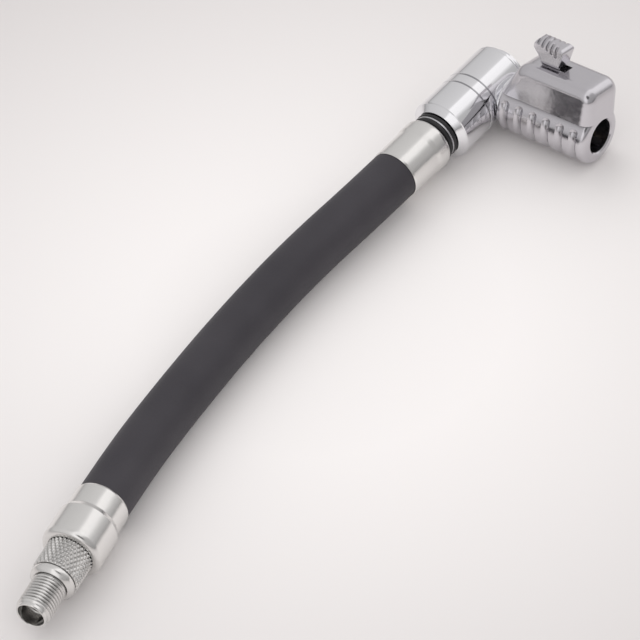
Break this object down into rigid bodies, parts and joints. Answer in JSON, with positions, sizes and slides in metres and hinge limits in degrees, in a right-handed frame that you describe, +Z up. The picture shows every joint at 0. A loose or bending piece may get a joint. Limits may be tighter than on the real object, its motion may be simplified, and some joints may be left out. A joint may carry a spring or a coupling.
{
  "type": "lock-on tyre valve chuck with hose",
  "caption": "Right-angle lock-on tyre valve chuck with a thumb slide, on a swivel elbow and a short rubber hose with a threaded inlet.",
  "frame": {"origin": "centre of the footprint on the ground, without the hose", "axes": "+X the way the chuck's mouth points, +Y from the threaded end towards the swivel elbow, +Z up"},
  "size_m": [0.0402, 0.1922, 0.0267],
  "materials": {
    "satin_nickel": "satin nickel plating",
    "hose_rubber": "matte extruded rubber",
    "brass": "turned",
    "black_rubber": "smooth moulded rubber",
    "bright_steel": "zinc plated",
    "spring_steel": "spring wire",
    "chrome": "polished chrome plating",
    "cast_chrome": "chrome plating on die-cast metal",
    "dark_steel": "blackened strip"
  },
  "bodies": {
    "hose_line": {"threaded_nipple": "satin_nickel", "lower_ferrule": "satin_nickel", "hose": "hose_rubber", "upper_ferrule": "satin_nickel", "swivel_stem": "brass", "stem_oring": "black_rubber", "swivel_oring_outer": "black_rubber", "swivel_washer": "bright_steel", "swivel_oring_inner": "black_rubber", "stem_snap_ring": "spring_steel"},
    "head": {"elbow_body": "chrome", "elbow_end_cap": "chrome", "neck_stub": "chrome", "neck_oring": "black_rubber", "chuck_body": "cast_chrome", "valve_seal": "black_rubber", "seal_washer": "bright_steel", "core_opener": "brass", "jaw_spring_front": "spring_steel", "jaw_spring_rear": "spring_steel"},
    "thumb": {"thumb_slide": "cast_chrome", "slide_rivet": "bright_steel", "lock_wedge": "bright_steel", "slot_cover": "dark_steel"},
    "jaw": {"grip_jaw": "bright_steel"}
  },
  "joints": [
    {"name": "elbow_swivel", "type": "hinge", "parent": "hose_line", "child": "head", "pos_m": [-0.0125, 0.07573, 0.0076], "axis": [0, 1, 0], "continuous": true},
    {"name": "slide_lock", "type": "slide", "parent": "head", "child": "thumb", "axis": [1, 0, 0], "range_m": [0, 0.0013]},
    {"name": "jaw_clamp", "type": "slide", "parent": "head", "child": "jaw", "axis": [0, -0.2419, -0.9703], "range_m": [0, 0.00052], "deforming": ["jaw_spring_front", "jaw_spring_rear"]}
  ],
  "couplings": [
    {"joint": "jaw_clamp", "follows": "slide_lock", "ratio": 0.4}
  ]
}
